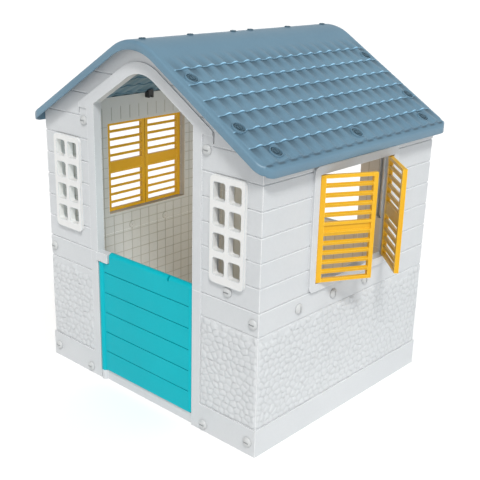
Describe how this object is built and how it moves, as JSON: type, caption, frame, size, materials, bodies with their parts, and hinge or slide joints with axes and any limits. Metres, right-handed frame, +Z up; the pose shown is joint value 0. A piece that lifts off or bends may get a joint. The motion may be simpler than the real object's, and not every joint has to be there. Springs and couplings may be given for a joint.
{
  "type": "children's playhouse",
  "caption": "Plastic garden playhouse with board-pattern walls, a tiled gable roof, a half door, louvred shutters and small-paned windows.",
  "frame": {"origin": "on the ground, at the centre of the wall footprint", "axes": "+Z up; the front wall with the half door faces -Y; +X is to the right seen from the front, towards the wall whose shutters stand open"},
  "size_m": [1.1194, 0.922, 1.154],
  "materials": {
    "wall_white": "fine moulded grain",
    "window_white": "smooth moulded",
    "roof_blue": "satin moulded",
    "door_teal": "satin moulded",
    "shutter_yellow": "satin moulded",
    "bolt_white": "smooth moulded",
    "bolt_blue": "smooth moulded",
    "clip_grey": "smooth moulded"
  },
  "bodies": {
    "house": {"front_upper": "wall_white", "front_lower_left": "wall_white", "front_lower_right": "wall_white", "back_upper": "wall_white", "back_lower": "wall_white", "side_upper_right": "wall_white", "side_upper_left": "wall_white", "side_lower_right": "wall_white", "side_lower_left": "wall_white", "threshold": "wall_white", "roof_left": "roof_blue", "roof_right": "roof_blue", "window_front_right": "window_white", "window_front_left": "window_white", "window_back_right": "window_white", "window_back_left": "window_white", "wall_bolts": "bolt_white", "roof_bolts": "bolt_blue", "eave_clips": "clip_grey"},
    "door": {"half_door": "door_teal"},
    "leaf_right_front": {"shutter_right_front": "shutter_yellow"},
    "leaf_right_rear": {"shutter_right_rear": "shutter_yellow"},
    "leaf_left_front": {"shutter_left_front": "shutter_yellow"},
    "leaf_left_rear": {"shutter_left_rear": "shutter_yellow"}
  },
  "joints": [
    {"name": "door_hinge", "type": "hinge", "parent": "house", "child": "door", "pos_m": [-0.204, -0.42, 0.24], "axis": [0, 0, -1], "range_deg": [0, 110]},
    {"name": "right_front_hinge", "type": "hinge", "parent": "house", "child": "leaf_right_front", "pos_m": [0.476, -0.176, 0.641], "axis": [0, 0, -1], "range_deg": [-30, 70]},
    {"name": "right_rear_hinge", "type": "hinge", "parent": "house", "child": "leaf_right_rear", "pos_m": [0.476, 0.176, 0.641], "axis": [0, 0, 1], "range_deg": [-47, 53]},
    {"name": "left_front_hinge", "type": "hinge", "parent": "house", "child": "leaf_left_front", "pos_m": [-0.476, -0.176, 0.641], "axis": [0, 0, 1], "range_deg": [0, 100]},
    {"name": "left_rear_hinge", "type": "hinge", "parent": "house", "child": "leaf_left_rear", "pos_m": [-0.476, 0.176, 0.641], "axis": [0, 0, -1], "range_deg": [0, 100]}
  ]
}
